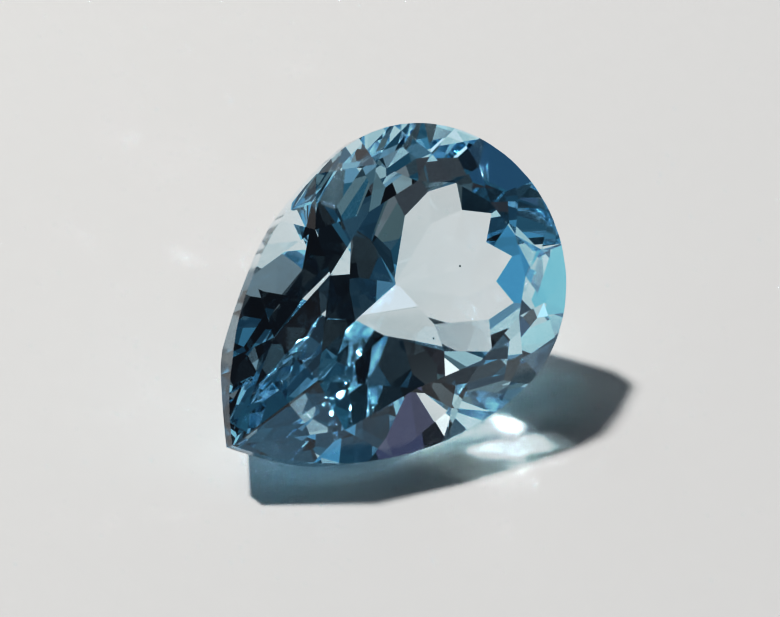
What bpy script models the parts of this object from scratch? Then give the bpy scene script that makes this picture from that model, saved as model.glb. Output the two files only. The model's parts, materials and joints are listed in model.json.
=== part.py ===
"""A pear-cut blue topaz, ground from a pear-shaped blank and laid on one of its lower facets.

Run with blender --background --python part.py, or from the text editor. Metres, +Z up.

The stone is cut in its own pose first: X runs from the pointed tip to the round head, Z is the
normal of the table, and the girdle's upper edge lies at Z = 0. Lengths there are counted in half
widths of the stone, as a cutter counts them. Every facet is one flat cut, given by the direction
it faces around the stone, by its slope and by a point that it passes. The finished stone is
tipped onto its resting facet, turned to its heading and set over the origin on Z = 0.
"""

import math

import bmesh
import bpy
import numpy as np
from mathutils import Matrix
from mathutils import Vector

# Driving dimensions: the first in metres, the rest in half widths
HALF_WIDTH = 0.0055
TAIL = 1.87
CROWN = 0.28
CULET = 1.228
KEEL = 1.212

# The table is the girdle's outline made smaller and moved towards the tip
TABLE_SCALE = 0.62
TABLE_SHIFT = -0.085

# How far down the crown the points of the star facets reach, as a share of its height
STAR = 0.42

# Directions of the lower facets in degrees from the head, the same on both sides
INDEX = 90.0 / 7.0
HEAD_KITES = (0.0, 2.0 * INDEX, 4.0 * INDEX)
SHOULDER_KITE = 74.0
TAIL_KITE = 114.1
TIP_KITE = 135.0
HEAD_MAINS = (1.0 * INDEX, 3.0 * INDEX, 5.0 * INDEX)
SHOULDER_MAIN = 96.0
TAIL_MAIN = 117.1

# Slopes of the lower facets in degrees from the table
KITE_SLOPE = 46.8
SHOULDER_KITE_SLOPE = 45.5
TAIL_KITE_SLOPE = 48.25
MAIN_SLOPE = 42.3
SHOULDER_MAIN_SLOPE = 37.6
TAIL_MAIN_SLOPE = 44.8
BREAK_SLOPE = 55.6

# Kites pass this far inside the outline at KITE_DEPTH, and the mains of the tail at MAIN_DEPTH
KITE_DEPTH = 0.55
KITE_INSET = 0.29
SHOULDER_KITE_INSET = 0.279
TAIL_KITE_INSET = 0.3645
TIP_KITE_INSET = 0.333
MAIN_DEPTH = 0.673
TAIL_MAIN_INSET = 0.45
TIP_MAIN_INSET = 0.39

# Depth of the girdle's lower edge where the break facet of the tail reaches it
GIRDLE_DEPTH = 0.13

# The girdle's wall is ground in narrow flats
HEAD_FLATS = 14
TAIL_FLATS = 16

# How the stone lies
RESTING_KITE = -TAIL_KITE
HEADING = 32.7

# Cuts snap to corners this near, and finished corners closer together than CORNER_MERGE are one
SNAP = 2.0e-6
CORNER_MERGE = 1.0e-3

# Finish: linear colour of the clear body
BODY_COLOUR = (0.42, 0.66, 0.78, 1.0)
BODY_ROUGHNESS = 0.0
BODY_IOR = 1.615

# The long sides are arcs that leave the head's half circle smoothly and meet in the tip
SIDE_RADIUS = (TAIL * TAIL + 1.0) / 2.0
TIP_DIRECTION = 90.0 + math.degrees(math.atan2(TAIL, SIDE_RADIUS - 1.0))


def clear_objects():
    """Remove what the file holds."""
    for item in list(bpy.data.objects):
        bpy.data.objects.remove(item, do_unlink=True)


def outline(direction, height=0.0, inset=0.0):
    """Point of the girdle's outline where its edge faces the direction, moved straight inwards."""
    turn = math.radians(abs(direction))
    side = math.copysign(1.0, direction)
    radius = 1.0 if abs(direction) <= 90.0 else SIDE_RADIUS
    along = (radius - inset) * math.cos(turn)
    across = (radius - inset) * math.sin(turn) - (radius - 1.0)
    return np.array([along, side * across, height])


def table_corner(direction):
    """Corner of the table over that point of the outline."""
    edge = outline(direction)
    return np.array([edge[0] * TABLE_SCALE + TABLE_SHIFT, edge[1] * TABLE_SCALE, CROWN])


def cut_at(direction, slope, point):
    """Cut below the girdle by direction, slope and a point: its outward normal and distance."""
    turn = math.radians(direction)
    tilt = math.radians(slope)
    normal = np.array(
        [math.cos(turn) * math.sin(tilt), math.sin(turn) * math.sin(tilt), -math.cos(tilt)]
    )
    return normal, float(normal @ point)


def cut_through(first, second, third):
    """Cut through three points, facing away from the middle of the stone."""
    normal = np.cross(second - first, third - first)
    normal = normal / np.linalg.norm(normal)
    distance = float(normal @ first)
    if distance < 0.0:
        return -normal, -distance
    return normal, distance


def meet(*cuts):
    """Point where three cuts meet."""
    normals = [normal for normal, distance in cuts]
    distances = [distance for normal, distance in cuts]
    return np.linalg.solve(normals, distances)


def both_sides(directions):
    """Each direction and its mirror image across the long axis, in rising order."""
    return sorted({side * turn for turn in directions for side in (-1.0, 1.0)})


def main_directions():
    """Directions of the mains, above and below the girdle alike."""
    return both_sides(HEAD_MAINS + (SHOULDER_MAIN, TAIL_MAIN, TIP_DIRECTION))


def kite_directions():
    """Directions of the kites of the lower half."""
    return both_sides(HEAD_KITES + (SHOULDER_KITE, TAIL_KITE, TIP_KITE))


def girdle_cuts():
    """Upright flats that follow the outline."""
    head = [90.0 * step / HEAD_FLATS for step in range(HEAD_FLATS)]
    arc = TIP_DIRECTION - 90.0
    tail = [90.0 + arc * step / TAIL_FLATS for step in range(TAIL_FLATS + 1)]
    return [cut_at(turn, 90.0, outline(turn)) for turn in both_sides(head + tail)]


def kite_cut(direction):
    """Kite of the lower half, a set distance inside the outline at a set depth."""
    slope, inset = {
        SHOULDER_KITE: (SHOULDER_KITE_SLOPE, SHOULDER_KITE_INSET),
        TAIL_KITE: (TAIL_KITE_SLOPE, TAIL_KITE_INSET),
        TIP_KITE: (KITE_SLOPE, TIP_KITE_INSET),
    }.get(abs(direction), (KITE_SLOPE, KITE_INSET))
    return cut_at(direction, slope, outline(direction, -KITE_DEPTH, inset))


def main_cut(direction):
    """Main of the lower half: those of the head meet in the culet, the others make the keel."""
    if abs(direction) == TIP_DIRECTION:
        return cut_at(direction, MAIN_SLOPE, outline(direction, -MAIN_DEPTH, TIP_MAIN_INSET))
    if abs(direction) == TAIL_MAIN:
        return cut_at(direction, TAIL_MAIN_SLOPE, outline(direction, -MAIN_DEPTH, TAIL_MAIN_INSET))
    if abs(direction) == SHOULDER_MAIN:
        return cut_at(direction, SHOULDER_MAIN_SLOPE, np.array([0.0, 0.0, -KEEL]))
    return cut_at(direction, MAIN_SLOPE, np.array([0.0, 0.0, -CULET]))


def lower_cuts():
    """Kites and mains, and break facets between them and the girdle.

    A break facet passes the corner where its main meets the two kites beside it. Those of the
    tip pass the point that their mains pass, and those of the tail start at the girdle.
    """
    kites = {turn: kite_cut(turn) for turn in kite_directions()}
    mains = {turn: main_cut(turn) for turn in main_directions()}
    breaks = []
    for turn, main in mains.items():
        corner = outline(turn, -MAIN_DEPTH, TIP_MAIN_INSET)
        if abs(turn) == TAIL_MAIN:
            corner = outline(turn, -GIRDLE_DEPTH)
        elif abs(turn) < TAIL_MAIN:
            left, right = sorted(kites, key=lambda kite: abs(kite - turn))[:2]
            corner = meet(main, kites[left], kites[right])
        breaks.append(cut_at(turn, BREAK_SLOPE, corner))
    return list(kites.values()) + list(mains.values()) + breaks


def upper_main(direction):
    """Main of the crown, from the outline up to a corner of the table."""
    turn = math.radians(direction)
    edge = outline(direction)
    along_edge = np.array([-math.sin(turn), math.cos(turn), 0.0])
    return cut_through(edge, edge + along_edge, table_corner(direction))


def upper_cuts():
    """Mains of the crown, and between two of them a star facet and two halves at the girdle."""
    turns = main_directions()
    mains = {turn: upper_main(turn) for turn in turns}
    level = (np.array([0.0, 0.0, 1.0]), CROWN * (1.0 - STAR))
    cuts = list(mains.values())
    for left, right in zip(turns, turns[1:]):
        apex = meet(mains[left], mains[right], level)
        middle = outline((left + right) / 2.0)
        cuts.append(cut_through(table_corner(left), table_corner(right), apex))
        cuts.append(cut_through(apex, outline(left), middle))
        cuts.append(cut_through(apex, middle, outline(right)))
    return cuts


def blank():
    """Rough block that holds the whole stone, as a closed mesh in half widths."""
    mesh = bmesh.new()
    bmesh.ops.create_cube(mesh, size=2.0)
    bmesh.ops.scale(mesh, vec=Vector((TAIL, TAIL, TAIL)), verts=mesh.verts)
    return mesh


def grind(mesh, cut):
    """Take away what lies outside one cut and close the flat that it leaves."""
    normal, distance = cut
    everything = mesh.verts[:] + mesh.edges[:] + mesh.faces[:]
    made = bmesh.ops.bisect_plane(
        mesh,
        geom=everything,
        dist=SNAP,
        plane_co=Vector(normal * distance),
        plane_no=Vector(normal),
        clear_outer=True,
    )
    rim = [item for item in made["geom_cut"] if isinstance(item, bmesh.types.BMEdge)]
    open_rim = [edge for edge in rim if edge.is_valid and edge.is_boundary]
    if open_rim:
        bmesh.ops.contextual_create(mesh, geom=open_rim)


def cut_stone():
    """Grind every facet and return the closed mesh in half widths."""
    mesh = blank()
    table = (np.array([0.0, 0.0, 1.0]), CROWN)
    for cut in [table] + girdle_cuts() + lower_cuts() + upper_cuts():
        grind(mesh, cut)
    bmesh.ops.remove_doubles(mesh, verts=mesh.verts[:], dist=CORNER_MERGE)
    bmesh.ops.recalc_face_normals(mesh, faces=mesh.faces[:])
    return mesh


def lay_down(mesh):
    """Tip the stone onto its resting facet, turn it, and set it over the origin at real size."""
    face_down = Matrix.Rotation(math.radians(-90.0 - RESTING_KITE), 4, "Z")
    tip_over = Matrix.Rotation(math.radians(TAIL_KITE_SLOPE), 4, "X")
    turn = Matrix.Rotation(math.radians(HEADING), 4, "Z")
    grow = Matrix.Scale(HALF_WIDTH, 4)
    bmesh.ops.transform(mesh, matrix=grow @ turn @ tip_over @ face_down, verts=mesh.verts[:])
    corners = np.array([corner.co for corner in mesh.verts])
    low = corners.min(axis=0)
    high = corners.max(axis=0)
    middle = Vector(((low[0] + high[0]) / 2.0, (low[1] + high[1]) / 2.0, low[2]))
    bmesh.ops.translate(mesh, vec=-middle, verts=mesh.verts[:])


def clear_topaz():
    """Clear pale blue stone with a polished surface."""
    material = bpy.data.materials.new("blue topaz, polished")
    material.use_nodes = True
    shader = material.node_tree.nodes["Principled BSDF"]
    shader.inputs["Base Color"].default_value = BODY_COLOUR
    shader.inputs["Roughness"].default_value = BODY_ROUGHNESS
    shader.inputs["Metallic"].default_value = 0.0
    shader.inputs["IOR"].default_value = BODY_IOR
    shader.inputs["Transmission Weight"].default_value = 1.0
    return material


def main():
    clear_objects()
    mesh = cut_stone()
    lay_down(mesh)
    data = bpy.data.meshes.new("cut_topaz")
    mesh.to_mesh(data)
    mesh.free()
    data.materials.append(clear_topaz())
    stone = bpy.data.objects.new("cut_topaz", data)
    bpy.context.scene.collection.objects.link(stone)


main()
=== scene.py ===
"""Look of a loose pear-cut blue topaz that lies on white paper.

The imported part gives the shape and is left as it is. This file gives the stone its finish, sets
two dark specks inside it, and makes the paper, the light and the camera. Run it as a script.
"""

import json
import math

import bpy
import numpy as np
from bpy.props import FloatProperty
from bpy.props import FloatVectorProperty
from bpy.props import PointerProperty
from bpy.types import Operator
from bpy.types import Panel
from bpy.types import PropertyGroup
from mathutils import Matrix
from mathutils import Vector


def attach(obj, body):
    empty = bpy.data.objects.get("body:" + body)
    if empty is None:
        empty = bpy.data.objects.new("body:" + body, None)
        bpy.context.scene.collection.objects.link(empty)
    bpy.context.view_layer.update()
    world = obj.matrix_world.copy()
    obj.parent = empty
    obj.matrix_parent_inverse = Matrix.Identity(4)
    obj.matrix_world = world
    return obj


bl_info = {
    "name": "Pear-cut Topaz Look",
    "version": (1, 0, 0),
    "blender": (4, 5, 0),
    "location": "3D View > Sidebar > Topaz",
    "description": "Finish, inclusions, paper, light and camera for a cut blue topaz",
    "category": "Object",
}

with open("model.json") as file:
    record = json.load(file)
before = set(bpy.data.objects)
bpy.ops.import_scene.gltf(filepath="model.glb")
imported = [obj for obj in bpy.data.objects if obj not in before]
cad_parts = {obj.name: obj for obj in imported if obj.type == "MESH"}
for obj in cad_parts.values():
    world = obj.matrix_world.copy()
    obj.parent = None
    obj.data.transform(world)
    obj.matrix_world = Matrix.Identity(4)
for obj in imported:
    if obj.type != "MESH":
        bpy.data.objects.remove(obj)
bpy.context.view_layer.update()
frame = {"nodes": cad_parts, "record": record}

STONE_NODE = "cut_topaz"
BODY = "root"
MILLIMETRE = 0.001

# Mount on the table's face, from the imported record: its axis is the way that the table faces
TABLE_MOUNT = next(m for m in frame["record"]["mounts"] if m["name"] == "table")

# A face belongs to the girdle's wall where its normal is nearly square to the table's axis. The
# cosine between the two is above the first value off the wall, and below the second on it.
GIRDLE_EDGE = (0.06, 0.02)

# Two dark inclusions seen through the table: name, centre in metres, length and width in mm
INCLUSIONS = (
    ("inclusion_upper", (0.002002, 0.000745, 0.005763), 0.09, 0.07),
    ("inclusion_lower", (0.001303, -0.001509, 0.004061), 0.08, 0.06),
)

# Shape of an inclusion: rings from foot to top, points round each ring, the angle in radians
# that is cut off at both ends, its sides, and how far they ripple as a share of its width
INCLUSION_RINGS = 12
INCLUSION_POINTS = 24
INCLUSION_END = 0.15
INCLUSION_SIDES = 6
INCLUSION_RIPPLE = 0.09

# Points along each side of the paper
PAPER_POINTS = 9

# Real sizes in mm that patterns are drawn at: patches of the film on the facets, brown and black
# grains of an inclusion, and clumps of the paper's fibres
FILM_PATCH = 2.0
SPECK_GRAIN = 0.02
FIBRE_CLUMP = 1.0

# The paper's fibres are 0.02 to 0.05 mm wide, which is too fine to show. They are drawn 0.3 mm
# wide, and stand up by the second value, also in mm.
FIBRE_WIDTH = 0.3
FIBRE_RELIEF = 0.01

# Noise values between which a pattern goes from its darkest to its lightest
FILM_SPREAD = (0.35, 0.65)
CLUMP_SPREAD = (0.3, 0.7)

# Darkest patches of the paper, as a share of its colour
PAPER_DARKEST = 0.985

# Soft bright parts of the room around the stone, as azimuth from +X towards +Y, elevation,
# radius and soft rim in degrees, colour, and strength. The stone shows each of them in some
# of its facets.
ROOM_PANELS = (
    ("low window", 112.0, 3.0, 10.0, 6.0, "#FFFEFC", 1.12),
    ("high window", 134.0, 28.0, 8.0, 7.0, "#E7FCFF", 0.64),
    ("lamp shade", 129.0, 59.0, 8.0, 5.0, "#FFF7F0", 1.4),
    ("blue window", 198.0, 19.0, 5.0, 5.0, "#C4F7FF", 0.75),
    ("blue sill", 202.0, 3.0, 9.0, 8.0, "#AAEDFF", 0.44),
    ("pale wall", 242.0, 27.0, 4.0, 6.0, "#FFFAF1", 0.5),
    ("pale shelf", 255.0, 3.0, 7.0, 6.0, "#F3FFFF", 0.25),
    ("dull card", 264.0, 20.0, 5.0, 5.0, "#FFFFE8", 0.15),
    ("bright card", 282.0, 53.0, 4.0, 6.0, "#FFF6F3", 0.3),
    ("violet cloth", 90.0, 42.0, 8.0, 6.0, "#C4C0FF", 0.14),
    ("brown cloth", 244.0, 45.0, 6.0, 6.0, "#FFDCDC", 0.06),
    ("blue cloth", 216.0, 43.0, 6.0, 5.0, "#7CCBFF", 0.19),
    ("small pane", 342.0, 20.0, 3.0, 4.0, "#BCEDFF", 0.35),
    ("high pane", 30.0, 60.0, 3.0, 6.0, "#FFFFFF", 0.3),
    ("blue shelf", 292.0, 3.0, 10.0, 8.0, "#A0E7FF", 0.32),
)

# Room light from the horizon up: sine of the elevation, then colour
ROOM_BANDS = (
    (0.0, "#3F6B7C"),
    (0.17, "#355766"),
    (0.37, "#355161"),
    (0.5, "#2C3A43"),
    (0.62, "#222125"),
)

# Slightly warm white of the lamp, as linear values
LAMP_COLOUR = (1.0, 0.982, 0.962)

# The camera's sensor width in mm, and the nearest and farthest that it sees in metres
SENSOR_WIDTH = 36.0
CLIP_START = 0.01
CLIP_END = 2.0

# Light is mirrored many times inside the stone before it leaves, and less often off the paper
STONE_BOUNCES = 24
PAPER_BOUNCES = 4

# Tone curve of a phone camera, as light in and light out: darks are held down. It goes on the
# curve that works on red, green and blue alike.
TONE_CURVE = ((0.02, 0.009), (0.1, 0.065), (0.25, 0.205), (0.5, 0.535), (0.79, 0.755))
COMBINED_CURVE = 3


def linear(code):
    """Linear values of an sRGB hex colour."""
    parts = [int(code[i : i + 2], 16) / 255.0 for i in (1, 3, 5)]
    return [p / 12.92 if p <= 0.04045 else ((p + 0.055) / 1.055) ** 2.4 for p in parts]


def empty_tree(block):
    """Node tree of a material or a world, cleared of the nodes that it starts with."""
    block.use_nodes = True
    block.node_tree.nodes.clear()
    return block.node_tree


def add_node(tree, kind, settings=None, inputs=None, links=None):
    """Add a node, set its own settings and input values, and link sockets to its inputs."""
    node = tree.nodes.new(kind)
    for key, value in (settings or {}).items():
        setattr(node, key, value)
    for key, value in (inputs or {}).items():
        node.inputs[key].default_value = value
    for key, socket in (links or {}).items():
        tree.links.new(socket, node.inputs[key])
    return node


def direction(azimuth, elevation):
    """Unit vector for an azimuth from +X towards +Y and an elevation, both in radians."""
    flat = math.cos(elevation)
    return Vector((math.cos(azimuth) * flat, math.sin(azimuth) * flat, math.sin(elevation)))


def grid_mesh(name, points, closed=False):
    """Mesh of quads over a grid of points, of shape rows by columns by three.

    Each quad joins a point to the next along its row and its column. A closed mesh also joins
    each row's last point to its first, and has a face on its first row and on its last.
    """
    rows, columns = points.shape[:2]
    index = np.arange(rows * columns).reshape(rows, columns)
    caps = [index[0, ::-1].tolist(), index[-1].tolist()] if closed else []
    if closed:
        index = np.hstack([index, index[:, :1]])
    quads = np.stack(
        [index[:-1, :-1], index[:-1, 1:], index[1:, 1:], index[1:, :-1]], axis=-1
    ).reshape(-1, 4)
    mesh = bpy.data.meshes.new(name)
    mesh.from_pydata(points.reshape(-1, 3).tolist(), [], quads.tolist() + caps)
    mesh.update()
    return mesh


def rounded_crystal(centre, length, width):
    """Rings of points round a small worn crystal that stands upright, from its foot to its top.

    A point's height is half the length times the cosine of its angle from the top. Its distance
    from the axis is half the width times the sine of that angle, times one plus a ripple that
    goes round once for each of the crystal's sides.
    """
    fall = np.linspace(math.pi - INCLUSION_END, INCLUSION_END, INCLUSION_RINGS)
    turn = np.linspace(0.0, 2.0 * math.pi, INCLUSION_POINTS, endpoint=False)
    fall, turn = np.meshgrid(fall, turn, indexing="ij")
    ripple = 1.0 + INCLUSION_RIPPLE * np.cos(INCLUSION_SIDES * turn)
    reach = width / 2.0 * np.sin(fall) * ripple
    height = length / 2.0 * np.cos(fall)
    points = np.stack([reach * np.cos(turn), reach * np.sin(turn), height], axis=-1)
    return points + np.array(centre)


def show(name, mesh, material):
    """Put a mesh into the scene as an object at the origin, with its material."""
    mesh.materials.append(material)
    thing = bpy.data.objects.new(name, mesh)
    bpy.context.scene.collection.objects.link(thing)
    return thing


def polished_topaz(look):
    """Clear blue topaz: facets polished on a lap, girdle left finely ground.

    The body is colourless at its skin and gets its blue from the length of the path through it,
    so thin corners look white and long paths look deep blue. Facets mirror sharply. The narrow
    band of the girdle scatters a little, and looks slightly frosted.
    """
    material = bpy.data.materials.new("polished blue topaz")
    tree = empty_tree(material)
    place = add_node(tree, "ShaderNodeTexCoord")

    # Share of the normal that runs along the table's axis: near zero only on the girdle's wall
    along = add_node(
        tree,
        "ShaderNodeVectorMath",
        {"operation": "DOT_PRODUCT"},
        {1: TABLE_MOUNT["axis"]},
        {0: place.outputs["Normal"]},
    )
    size = add_node(
        tree,
        "ShaderNodeMath",
        {"operation": "ABSOLUTE"},
        None,
        {0: along.outputs["Value"]},
    )
    girdle = add_node(
        tree,
        "ShaderNodeMapRange",
        None,
        {"From Min": GIRDLE_EDGE[0], "From Max": GIRDLE_EDGE[1]},
        {"Value": size.outputs["Value"]},
    )
    roughness = add_node(
        tree,
        "ShaderNodeMath",
        {"operation": "MULTIPLY", "use_clamp": True},
        {1: look.girdle_roughness},
        {0: girdle.outputs["Result"]},
    )

    # A film from handling takes off a few percent of the light, more in some patches than others
    film = add_node(
        tree,
        "ShaderNodeTexNoise",
        None,
        {"Scale": 1.0 / (FILM_PATCH * MILLIMETRE), "Detail": 4.0, "Distortion": 0.8},
        {"Vector": place.outputs["Object"]},
    )
    clarity = add_node(
        tree,
        "ShaderNodeMapRange",
        None,
        {"From Min": FILM_SPREAD[0], "From Max": FILM_SPREAD[1], "To Min": 1.0 - look.film},
        {"Value": film.outputs["Fac"]},
    )
    skin = add_node(
        tree,
        "ShaderNodeBsdfPrincipled",
        None,
        {"IOR": look.ior, "Transmission Weight": 1.0},
        {"Roughness": roughness.outputs["Value"], "Base Color": clarity.outputs["Result"]},
    )
    depth = add_node(
        tree,
        "ShaderNodeVolumeAbsorption",
        None,
        {"Color": (*look.depth_colour, 1.0), "Density": look.depth_density},
    )
    add_node(
        tree,
        "ShaderNodeOutputMaterial",
        None,
        None,
        {"Surface": skin.outputs["BSDF"], "Volume": depth.outputs["Volume"]},
    )
    return material


def dark_inclusion():
    """Specks of a dark oxide mineral grown into the topaz: dull, nearly black, with brown parts.

    They read as pinpricks in the bright middle of the stone.
    """
    material = bpy.data.materials.new("dark oxide inclusion")
    tree = empty_tree(material)
    place = add_node(tree, "ShaderNodeTexCoord")
    grain = add_node(
        tree,
        "ShaderNodeTexNoise",
        None,
        {"Scale": 1.0 / (SPECK_GRAIN * MILLIMETRE), "Detail": 2.0},
        {"Vector": place.outputs["Object"]},
    )
    colour = add_node(tree, "ShaderNodeValToRGB", None, None, {0: grain.outputs["Fac"]})
    colour.color_ramp.elements[0].color = linear("#0C0D10") + [1.0]
    colour.color_ramp.elements[1].color = linear("#3A2C22") + [1.0]
    skin = add_node(
        tree,
        "ShaderNodeBsdfPrincipled",
        None,
        {"Roughness": 0.6, "IOR": 2.4},
        {"Base Color": colour.outputs["Color"]},
    )
    add_node(tree, "ShaderNodeOutputMaterial", None, None, {"Surface": skin.outputs["BSDF"]})
    return material


def smooth_paper(look):
    """Uncoated white paper: matt and faintly fibrous, a little brighter and darker in patches."""
    material = bpy.data.materials.new("uncoated white paper")
    tree = empty_tree(material)
    place = add_node(tree, "ShaderNodeTexCoord")
    clumps = add_node(
        tree,
        "ShaderNodeTexNoise",
        None,
        {"Scale": 1.0 / (FIBRE_CLUMP * MILLIMETRE), "Detail": 3.0, "Roughness": 0.55},
        {"Vector": place.outputs["Object"]},
    )
    fibres = add_node(
        tree,
        "ShaderNodeTexNoise",
        None,
        {"Scale": 1.0 / (FIBRE_WIDTH * MILLIMETRE), "Detail": 3.0, "Distortion": 0.5},
        {"Vector": place.outputs["Object"]},
    )
    tone = add_node(
        tree,
        "ShaderNodeMapRange",
        None,
        {"From Min": CLUMP_SPREAD[0], "From Max": CLUMP_SPREAD[1], "To Min": PAPER_DARKEST},
        {"Value": clumps.outputs["Fac"]},
    )
    colour = add_node(
        tree,
        "ShaderNodeVectorMath",
        {"operation": "SCALE"},
        {0: tuple(look.paper_colour)},
        {"Scale": tone.outputs["Result"]},
    )
    relief = add_node(
        tree,
        "ShaderNodeBump",
        None,
        {"Strength": 0.1, "Distance": FIBRE_RELIEF * MILLIMETRE},
        {"Height": fibres.outputs["Fac"]},
    )
    skin = add_node(
        tree,
        "ShaderNodeBsdfPrincipled",
        None,
        {"Roughness": 0.95, "IOR": 1.5, "Specular IOR Level": 0.1},
        {"Base Color": colour.outputs["Vector"], "Normal": relief.outputs["Normal"]},
    )
    add_node(tree, "ShaderNodeOutputMaterial", None, None, {"Surface": skin.outputs["BSDF"]})
    return material


def room_light(look):
    """World of a dim room: blue-grey at the horizon, nearly black above, with soft panels."""
    world = bpy.data.worlds.new("plain room")
    tree = empty_tree(world)
    place = add_node(tree, "ShaderNodeTexCoord")
    ray = place.outputs["Generated"]
    height = add_node(tree, "ShaderNodeSeparateXYZ", None, None, {0: ray})
    falloff = add_node(tree, "ShaderNodeValToRGB", None, None, {0: height.outputs["Z"]})
    ramp = falloff.color_ramp
    ramp.interpolation = "EASE"
    while len(ramp.elements) < len(ROOM_BANDS):
        ramp.elements.new(0.5)
    for element, (position, tint) in zip(ramp.elements, ROOM_BANDS):
        element.position = position
        element.color = [value * look.room_light for value in linear(tint)] + [1.0]
    total = falloff.outputs["Color"]
    for label, azimuth, elevation, radius, rim, tint, strength in ROOM_PANELS:
        centre = direction(math.radians(azimuth), math.radians(elevation))
        facing = add_node(
            tree,
            "ShaderNodeVectorMath",
            {"operation": "DOT_PRODUCT", "label": label},
            {1: tuple(centre)},
            {0: ray},
        )
        inside = add_node(
            tree,
            "ShaderNodeMapRange",
            {"interpolation_type": "SMOOTHSTEP"},
            {
                "From Min": math.cos(math.radians(radius + rim)),
                "From Max": math.cos(math.radians(radius)),
                "To Max": strength,
            },
            {"Value": facing.outputs["Value"]},
        )
        glow = add_node(
            tree,
            "ShaderNodeVectorMath",
            {"operation": "SCALE"},
            {0: tuple(linear(tint))},
            {"Scale": inside.outputs["Result"]},
        )
        joined = add_node(
            tree,
            "ShaderNodeVectorMath",
            {"operation": "ADD"},
            None,
            {0: total, 1: glow.outputs["Vector"]},
        )
        total = joined.outputs["Vector"]
    sky = add_node(tree, "ShaderNodeBackground", None, None, {"Color": total})
    add_node(tree, "ShaderNodeOutputWorld", None, None, {"Surface": sky.outputs["Background"]})
    return world


class StoneLook(PropertyGroup):
    """Finish of the stone."""

    ior: FloatProperty(
        name="Refractive index",
        description="Middle of the range of topaz, 1.61 to 1.62",
        default=1.615,
        min=1.0,
        max=2.5,
    )
    depth_colour: FloatVectorProperty(
        name="Depth colour",
        description="Colour that a long path through the stone tends to",
        subtype="COLOR",
        size=3,
        default=linear("#59D8F5"),
        min=0.0,
        max=1.0,
    )
    depth_density: FloatProperty(
        name="Depth density",
        description="How fast the colour deepens, per metre of path",
        default=33.0,
        min=0.0,
    )
    girdle_roughness: FloatProperty(
        name="Girdle roughness",
        description="Roughness of the finely ground edge of the stone",
        subtype="FACTOR",
        default=0.08,
        min=0.0,
        max=1.0,
    )
    film: FloatProperty(
        name="Film",
        description="Most light that the thin film on the facets takes off",
        subtype="FACTOR",
        default=0.03,
        min=0.0,
        max=1.0,
    )


class StageLook(PropertyGroup):
    """Paper, lamp, room and camera."""

    paper_side: FloatProperty(
        name="Paper side",
        description="Side of the square sheet under the stone",
        subtype="DISTANCE",
        unit="LENGTH",
        default=0.8,
    )
    paper_gap: FloatProperty(
        name="Paper gap",
        description="Film of air between the stone and the paper",
        subtype="DISTANCE",
        unit="LENGTH",
        default=0.02 * MILLIMETRE,
    )
    paper_colour: FloatVectorProperty(
        name="Paper colour",
        description="Share of light that the paper sends back",
        subtype="COLOR",
        size=3,
        default=linear("#EFEEEC"),
        min=0.0,
        max=1.0,
    )
    lamp_power: FloatProperty(
        name="Lamp power",
        description="Power of the round soft lamp",
        subtype="POWER",
        unit="POWER",
        default=2.3,
    )
    lamp_distance: FloatProperty(
        name="Lamp distance",
        description="From the stone to the lamp",
        subtype="DISTANCE",
        unit="LENGTH",
        default=0.5,
    )
    lamp_width: FloatProperty(
        name="Lamp width",
        description="Diameter of the lamp's face",
        subtype="DISTANCE",
        unit="LENGTH",
        default=0.046,
    )
    lamp_azimuth: FloatProperty(
        name="Lamp azimuth",
        description="Direction of the lamp on the ground, from +X towards +Y",
        subtype="ANGLE",
        unit="ROTATION",
        default=math.radians(150.0),
    )
    lamp_elevation: FloatProperty(
        name="Lamp elevation",
        description="Height of the lamp above the ground, as an angle",
        subtype="ANGLE",
        unit="ROTATION",
        default=math.radians(54.0),
    )
    room_light: FloatProperty(
        name="Room light",
        description="Brightness of the walls and ceiling, as a share of their usual light",
        default=1.0,
        min=0.0,
    )
    camera_elevation: FloatProperty(
        name="Camera elevation",
        description="How far the camera looks down",
        subtype="ANGLE",
        unit="ROTATION",
        default=math.radians(34.533),
    )
    camera_roll: FloatProperty(
        name="Camera roll",
        description="Turn of the camera about its own axis",
        subtype="ANGLE",
        unit="ROTATION",
        default=math.radians(5.607),
    )
    camera_distance: FloatProperty(
        name="Camera distance",
        description="From the camera to the point that it looks at",
        subtype="DISTANCE",
        unit="LENGTH",
        default=0.165,
    )
    camera_lens: FloatProperty(
        name="Lens",
        description="Focal length for a sensor of 36 mm, in millimetres",
        default=210.5,
    )
    camera_aim: FloatVectorProperty(
        name="Camera aim",
        description="Point that the camera looks at",
        subtype="XYZ",
        unit="LENGTH",
        size=3,
        default=(-0.0002885, 0.0004236, 0.0038764),
    )


class TOPAZ_OT_finish_stone(Operator):
    """Give the cut stone its clear blue polished finish"""

    bl_idname = "topaz.finish_stone"
    bl_label = "Finish the Stone"

    def execute(self, context):
        if STONE_NODE not in frame["nodes"]:
            raise RuntimeError("The packed part has no node named " + STONE_NODE)
        stone = frame["nodes"][STONE_NODE]
        material = polished_topaz(context.scene.topaz_stone)
        if not stone.material_slots:
            stone.data.materials.append(material)
        for slot in stone.material_slots:
            slot.material = material
        return {"FINISHED"}


class TOPAZ_OT_set_inclusions(Operator):
    """Set the two dark inclusions inside the stone"""

    bl_idname = "topaz.set_inclusions"
    bl_label = "Set the Inclusions"

    def execute(self, context):
        material = dark_inclusion()
        for name, centre, length, width in INCLUSIONS:
            points = rounded_crystal(centre, length * MILLIMETRE, width * MILLIMETRE)
            speck = show(name, grid_mesh(name, points, closed=True), material)
            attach(speck, BODY)
        return {"FINISHED"}


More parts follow.
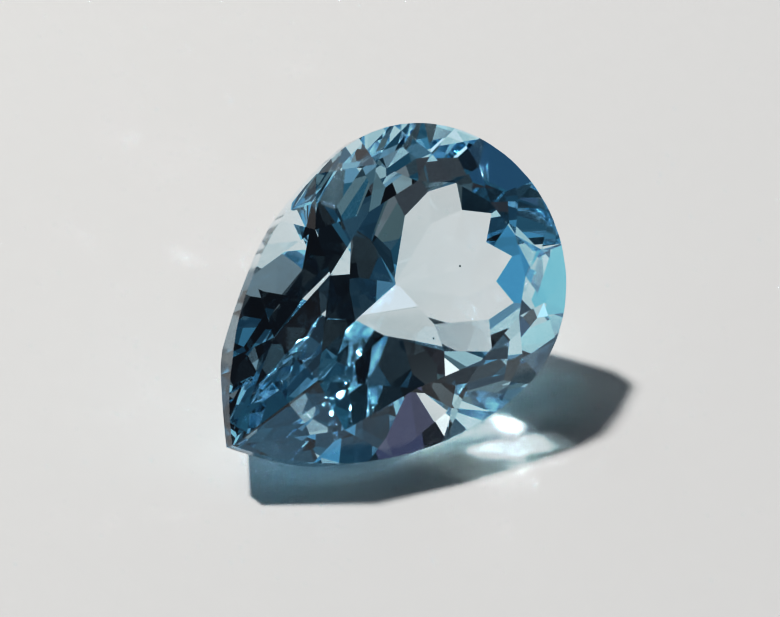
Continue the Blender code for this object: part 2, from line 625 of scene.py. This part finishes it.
class TOPAZ_OT_make_stage(Operator):
    """Lay the sheet of white paper that the stone rests on"""

    bl_idname = "topaz.make_stage"
    bl_label = "Lay the Paper"

    def execute(self, context):
        look = context.scene.topaz_stage
        half = look.paper_side / 2.0
        line = np.linspace(-half, half, PAPER_POINTS)
        along, across = np.meshgrid(line, line)
        points = np.stack([along, across, np.full_like(along, -look.paper_gap)], axis=-1)
        paper = show("paper", grid_mesh("paper", points), smooth_paper(look))
        return {"FINISHED"}


class TOPAZ_OT_set_light(Operator):
    """Set the soft lamp and the plain room"""

    bl_idname = "topaz.set_light"
    bl_label = "Set the Light"

    def execute(self, context):
        look = context.scene.topaz_stage
        lamp = bpy.data.lights.new("soft lamp", "AREA")
        lamp.shape = "DISK"
        lamp.size = look.lamp_width
        lamp.energy = look.lamp_power
        lamp.color = LAMP_COLOUR
        towards = direction(look.lamp_azimuth, look.lamp_elevation)
        turn = towards.to_track_quat("Z", "Y").to_matrix().to_4x4()
        place = bpy.data.objects.new("soft lamp", lamp)
        place.matrix_world = Matrix.Translation(towards * look.lamp_distance) @ turn
        # The lamp's mirror image off the table would lay a bright streak on the paper
        place.visible_glossy = False
        context.scene.collection.objects.link(place)
        context.scene.world = room_light(look)
        return {"FINISHED"}


class TOPAZ_OT_set_camera(Operator):
    """Set the camera and how light is traced and shown"""

    bl_idname = "topaz.set_camera"
    bl_label = "Set the Camera"

    def execute(self, context):
        scene = context.scene
        look = scene.topaz_stage
        camera = bpy.data.cameras.new("view")
        camera.sensor_width = SENSOR_WIDTH
        camera.lens = look.camera_lens
        camera.clip_start = CLIP_START
        camera.clip_end = CLIP_END
        low, roll = look.camera_elevation, look.camera_roll
        back = Vector((0.0, -math.cos(low), math.sin(low)))
        side = Vector((1.0, 0.0, 0.0))
        rise = back.cross(side)
        right = side * math.cos(roll) + rise * math.sin(roll)
        up = rise * math.cos(roll) - side * math.sin(roll)
        turn = Matrix((right, up, back)).transposed().to_4x4()
        aim = Vector(look.camera_aim)
        place = bpy.data.objects.new("view", camera)
        place.matrix_world = Matrix.Translation(aim + back * look.camera_distance) @ turn
        scene.collection.objects.link(place)
        scene.camera = place

        shown = scene.view_settings
        shown.view_transform = "Standard"
        shown.use_curve_mapping = True
        tone = shown.curve_mapping.curves[COMBINED_CURVE]
        for light_in, light_out in TONE_CURVE:
            tone.points.new(light_in, light_out)
        shown.curve_mapping.update()

        # Light is neither clamped nor blurred, so that the stone's bright spot on the paper stays.
        # The denoiser works from the colours alone, because its other passes are noisy here.
        traced = scene.cycles
        traced.max_bounces = STONE_BOUNCES
        traced.transmission_bounces = STONE_BOUNCES
        traced.glossy_bounces = STONE_BOUNCES
        traced.diffuse_bounces = PAPER_BOUNCES
        traced.sample_clamp_indirect = 0.0
        traced.blur_glossy = 0.0
        traced.use_guiding = True
        traced.denoising_input_passes = "RGB"
        return {"FINISHED"}


class TOPAZ_PT_sidebar(Panel):
    """Steps and values of the topaz look"""

    bl_idname = "TOPAZ_PT_sidebar"
    bl_label = "Topaz"
    bl_space_type = "VIEW_3D"
    bl_region_type = "UI"
    bl_category = "Topaz"

    def draw(self, context):
        layout = self.layout
        for group in (context.scene.topaz_stone, context.scene.topaz_stage):
            box = layout.box()
            for name in group.__annotations__:
                box.prop(group, name)
        for step in STEPS:
            layout.operator(step.bl_idname)


STEPS = (
    TOPAZ_OT_finish_stone,
    TOPAZ_OT_set_inclusions,
    TOPAZ_OT_make_stage,
    TOPAZ_OT_set_light,
    TOPAZ_OT_set_camera,
)
CLASSES = (StoneLook, StageLook) + STEPS + (TOPAZ_PT_sidebar,)


def register():
    """Register the classes, and give the scene its two groups of values."""
    for kind in CLASSES:
        bpy.utils.register_class(kind)
    bpy.types.Scene.topaz_stone = PointerProperty(type=StoneLook)
    bpy.types.Scene.topaz_stage = PointerProperty(type=StageLook)


def unregister():
    """Take away what register added."""
    del bpy.types.Scene.topaz_stage
    del bpy.types.Scene.topaz_stone
    for kind in reversed(CLASSES):
        bpy.utils.unregister_class(kind)


def main():
    """Run every step in order."""
    register()
    bpy.ops.topaz.finish_stone()
    bpy.ops.topaz.set_inclusions()
    bpy.ops.topaz.make_stage()
    bpy.ops.topaz.set_light()
    bpy.ops.topaz.set_camera()


if __name__ == "__main__":
    main()
